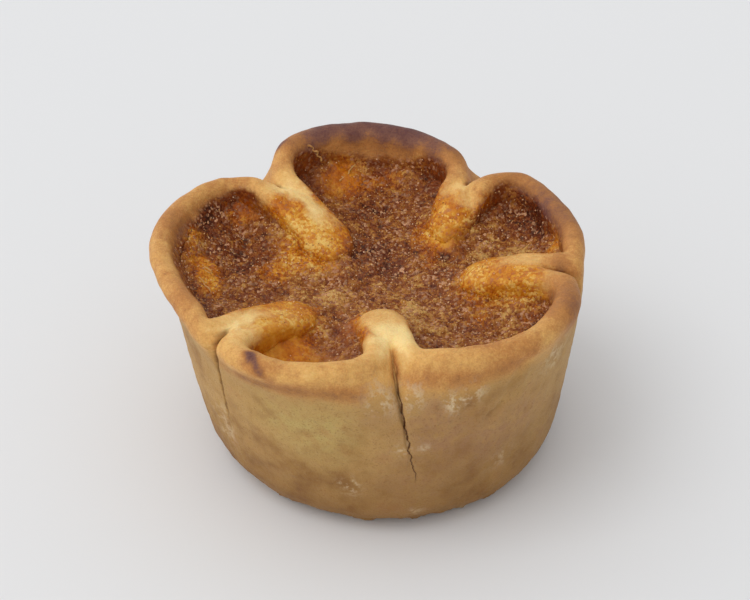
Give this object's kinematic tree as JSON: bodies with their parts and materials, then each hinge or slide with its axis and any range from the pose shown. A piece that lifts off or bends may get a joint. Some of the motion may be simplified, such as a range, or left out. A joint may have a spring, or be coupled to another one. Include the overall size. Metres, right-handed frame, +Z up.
{
  "type": "butter tart",
  "caption": "Round baked tart: a deep pastry cup with inward pleats and a rolled rim, filled with dark bubbled sugar filling.",
  "frame": {"origin": "centre of the flat base, on the surface the tart stands on", "axes": "+Z up; -Y towards the front pleat, whose seam slants down the wall; +X to the right as seen from the front"},
  "size_m": [0.0719, 0.069, 0.0381],
  "materials": {
    "baked_pastry": "matte golden-brown baked pastry, darker at the lips",
    "browned_filling": "grainy caramelised sugar with a wet sparkle"
  },
  "bodies": {
    "root": {"pastry_cup": "baked_pastry", "sugar_filling": "browned_filling"}
  },
  "joints": []
}
